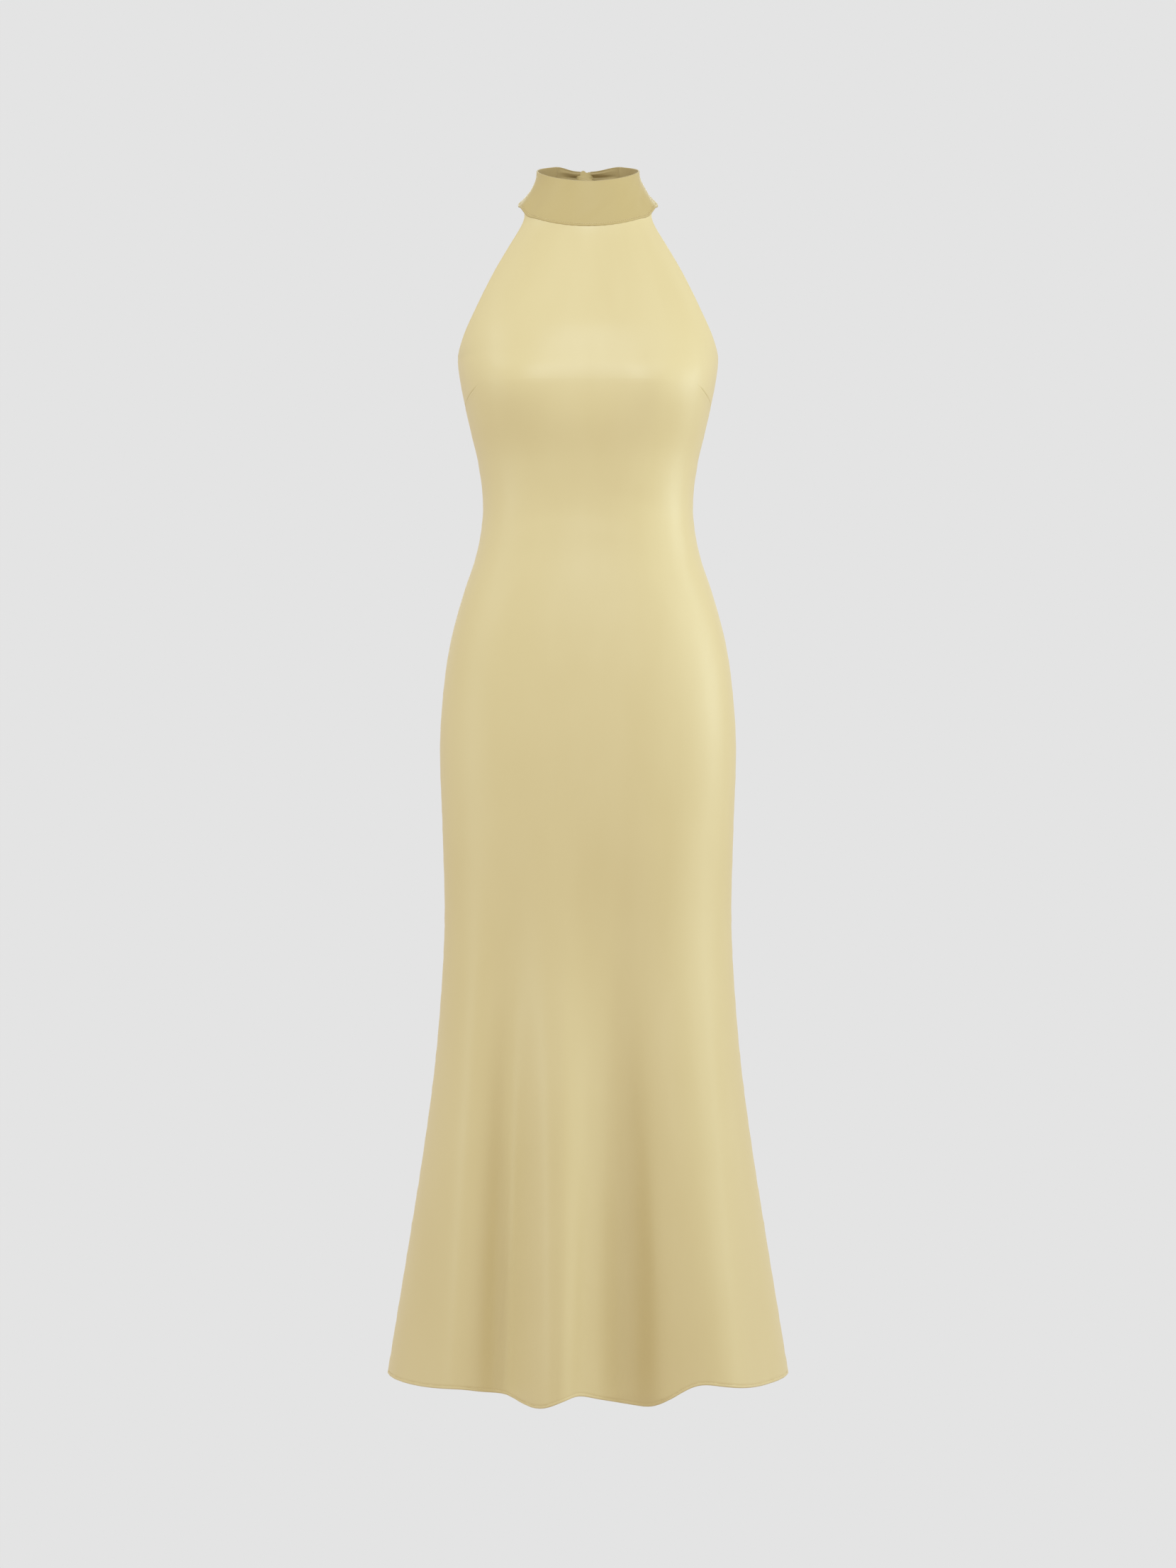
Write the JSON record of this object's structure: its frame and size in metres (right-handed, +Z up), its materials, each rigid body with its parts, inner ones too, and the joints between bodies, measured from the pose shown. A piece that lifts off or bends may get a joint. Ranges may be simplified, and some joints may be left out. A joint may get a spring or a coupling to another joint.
{
  "type": "halter dress",
  "caption": "Sleeveless floor-length dress with a stand halter neckband tied at the nape, bust darts, a fitted waist and hip, an open back and a skirt that flares to a waved hem.",
  "frame": {"origin": "the middle of the neckband's hollow, where a neck carries the dress", "axes": "+Z up along the dress, the front faces -Y, and the wearer's left is +X"},
  "size_m": [0.445, 0.3846, 1.3567],
  "materials": {
    "satin_body": "soft satin, pale yellow-gold",
    "satin_band": "soft satin, pale yellow-gold, double layer"
  },
  "bodies": {
    "root": {"front_panel": "satin_body", "back_left": "satin_body", "back_right": "satin_body", "neckband": "satin_band", "tie_left": "satin_band", "tie_right": "satin_band", "tie_knot": "satin_band", "tail_left": "satin_band", "tail_right": "satin_band"}
  },
  "joints": []
}
